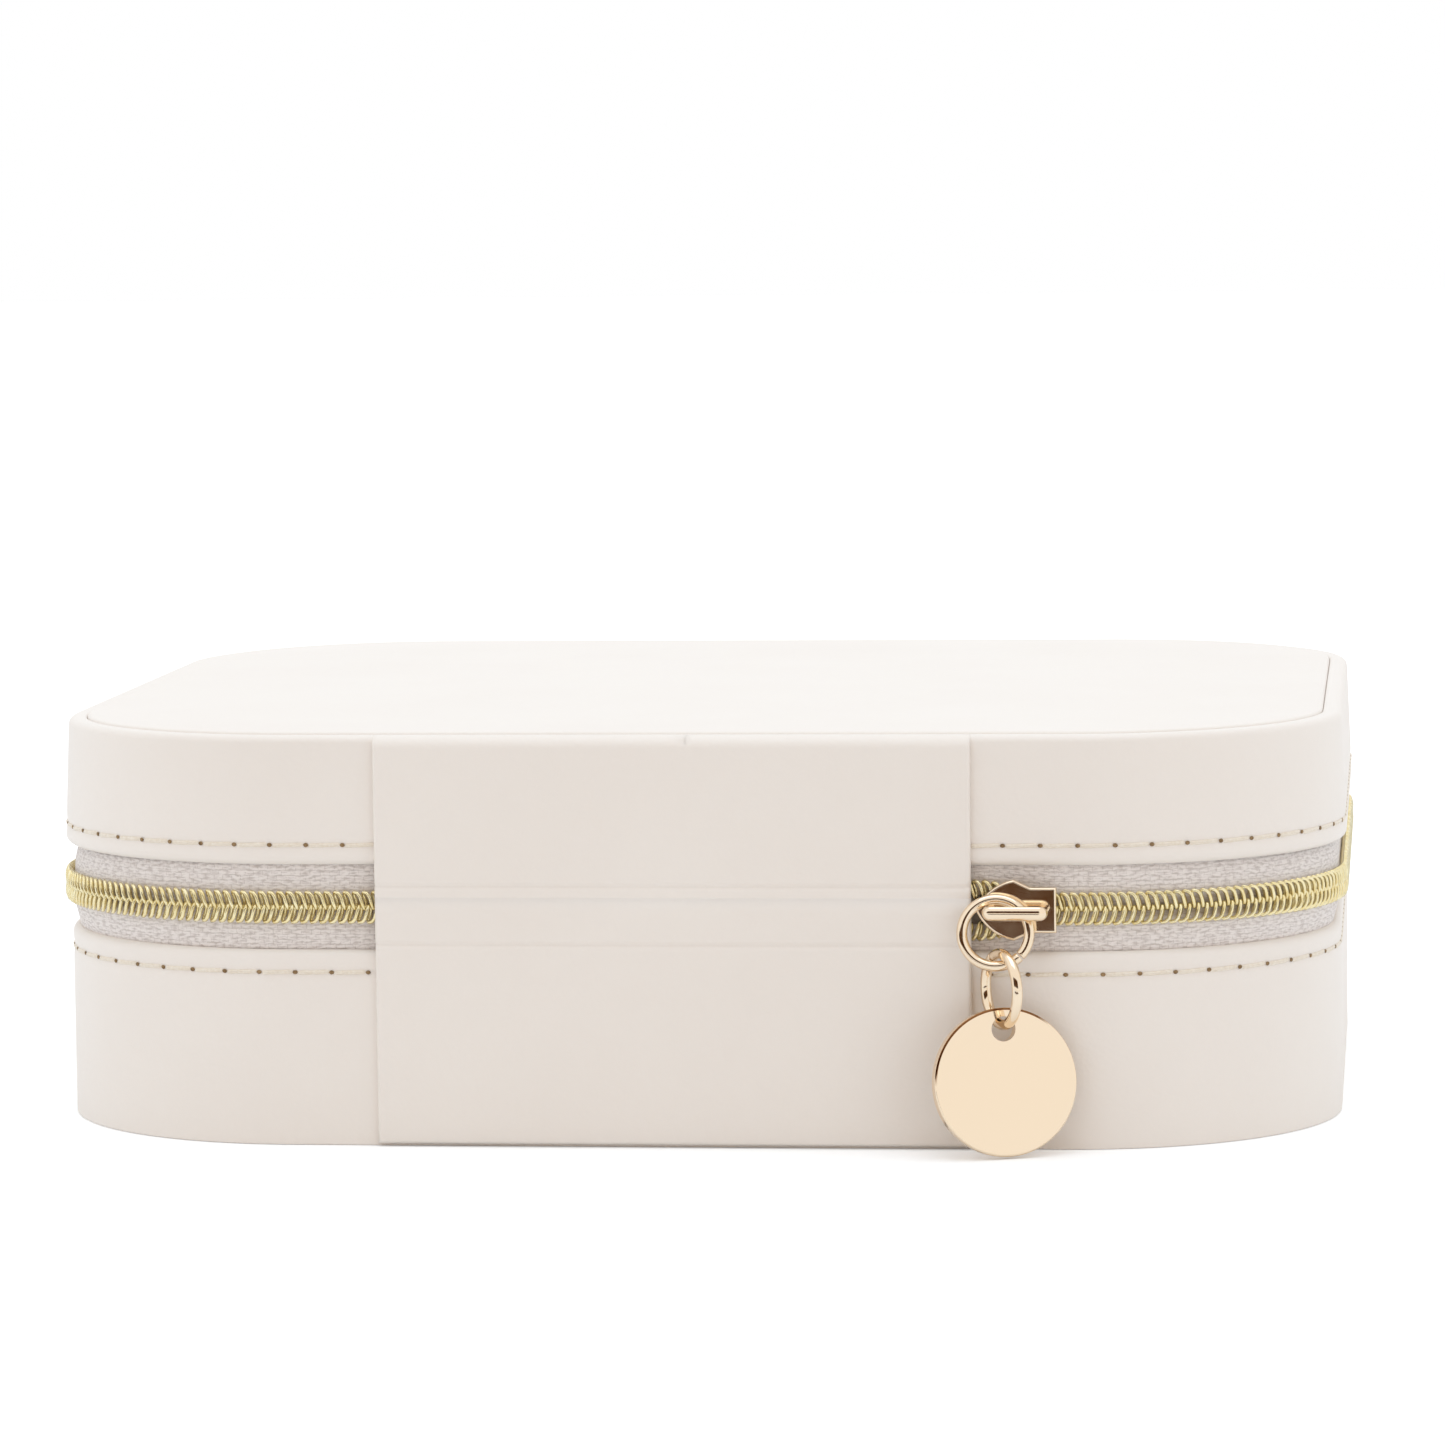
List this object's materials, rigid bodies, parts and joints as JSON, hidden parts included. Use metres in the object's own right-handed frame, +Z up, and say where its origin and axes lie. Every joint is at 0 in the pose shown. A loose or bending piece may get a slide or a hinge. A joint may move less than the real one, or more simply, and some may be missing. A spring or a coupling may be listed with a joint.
{
  "type": "jewelry box",
  "caption": "Low rounded zip-around jewelry box in pale leather with a hinged mirrored lid, a divided lined tray with ring rolls, and a gold slider with a round tag pull.",
  "frame": {"origin": "centre of the flat underside, where the box rests", "axes": "+X along the width, +Y towards the leather spine at the back, +Z up"},
  "size_m": [0.16, 0.1495, 0.0504],
  "materials": {
    "wall_leather": "smooth matte, fine grain",
    "lid_leather": "smooth matte, fine grain",
    "underside": "smooth matte",
    "board": "plain fibreboard, hidden",
    "suede": "short-pile suede cloth",
    "mirror": "polished",
    "zip_tape": "woven tape",
    "zip_metal": "metallised coil",
    "gold": "polished light gold plate"
  },
  "bodies": {
    "base": {"base_core": "board", "base_wrap": "wall_leather", "base_underside": "underside", "base_lining": "suede", "divider_left": "suede", "divider_right": "suede", "divider_cross": "suede", "ring_roll_1": "suede", "ring_roll_2": "suede", "ring_roll_3": "suede", "ring_roll_4": "suede", "ring_roll_5": "suede", "ring_roll_6": "suede", "zip_tape_lower": "zip_tape", "zip_tape_flex_left": "zip_tape", "zip_tape_flex_right": "zip_tape", "zip_teeth_lower": "zip_metal", "zip_teeth_flex_left": "zip_metal", "zip_teeth_flex_right": "zip_metal", "zip_teeth_open_lower": "zip_metal", "zip_teeth_open_upper": "zip_metal", "spine_lower": "wall_leather"},
    "lid": {"lid_core": "board", "lid_wrap": "wall_leather", "lid_panel": "lid_leather", "lid_lining": "suede", "lid_mirror": "mirror", "mirror_frame": "suede", "zip_tape_upper": "zip_tape", "zip_teeth_upper": "zip_metal", "spine_upper": "wall_leather"},
    "slider": {"slider_body": "gold", "slider_bridge": "gold"},
    "ring": {"pull_ring": "gold"},
    "link": {"pull_link": "gold"},
    "tag": {"pull_tag": "gold"}
  },
  "joints": [
    {"name": "lid_hinge", "type": "hinge", "parent": "base", "child": "lid", "pos_m": [0, 0.071, 0.0318], "axis": [-1, 0, 0], "range_deg": [0, 110]},
    {"name": "slider_travel", "type": "slide", "parent": "base", "child": "slider", "axis": [-1, 0, 0], "range_m": [0, 0.005]},
    {"name": "ring_swing", "type": "hinge", "parent": "slider", "child": "ring", "pos_m": [-0.03815, 0.07245, 0.0291], "axis": [0, 0.9613, 0.2756], "range_deg": [-5, 5]},
    {"name": "link_lift", "type": "hinge", "parent": "ring", "child": "link", "pos_m": [-0.03925, 0.07426, 0.02279], "axis": [1, 0, 0], "range_deg": [-2, 80]},
    {"name": "tag_swing", "type": "hinge", "parent": "link", "child": "tag", "pos_m": [-0.04, 0.07458, 0.01584], "axis": [-0.5, 0.866, 0], "range_deg": [-60, 10]}
  ]
}
